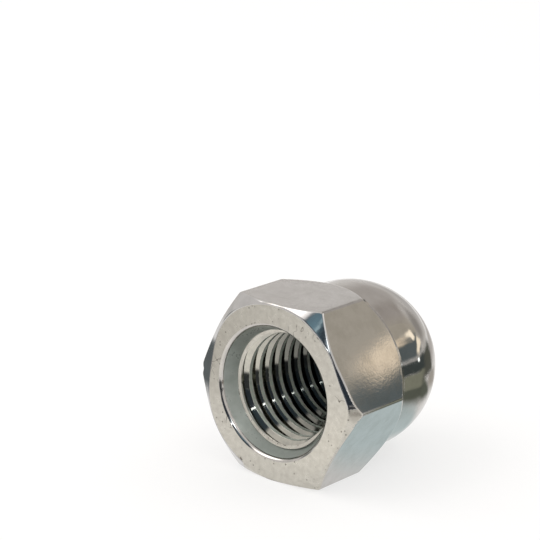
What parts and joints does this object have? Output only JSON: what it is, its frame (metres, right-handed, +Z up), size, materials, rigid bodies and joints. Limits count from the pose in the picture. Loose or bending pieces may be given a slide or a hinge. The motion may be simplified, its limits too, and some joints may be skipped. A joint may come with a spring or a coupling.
{
  "type": "cap nut",
  "caption": "Hexagonal nut with a tall polished dome that closes a blind threaded bore, with a rounded lip and a countersink at the mouth.",
  "frame": {"origin": "centre of the bearing face, on the thread axis", "axes": "+Y along the thread axis from the bearing face to the dome; +X to a hexagon corner; +Z up, square to a flat, with the nut lying on the opposite flat"},
  "size_m": [0.0276, 0.0276, 0.024],
  "materials": {
    "polished_steel": "mirror-polished dome, shoulder and lip, with satin flats and bearing face"
  },
  "bodies": {
    "root": {"cap_nut": "polished_steel"}
  },
  "joints": []
}
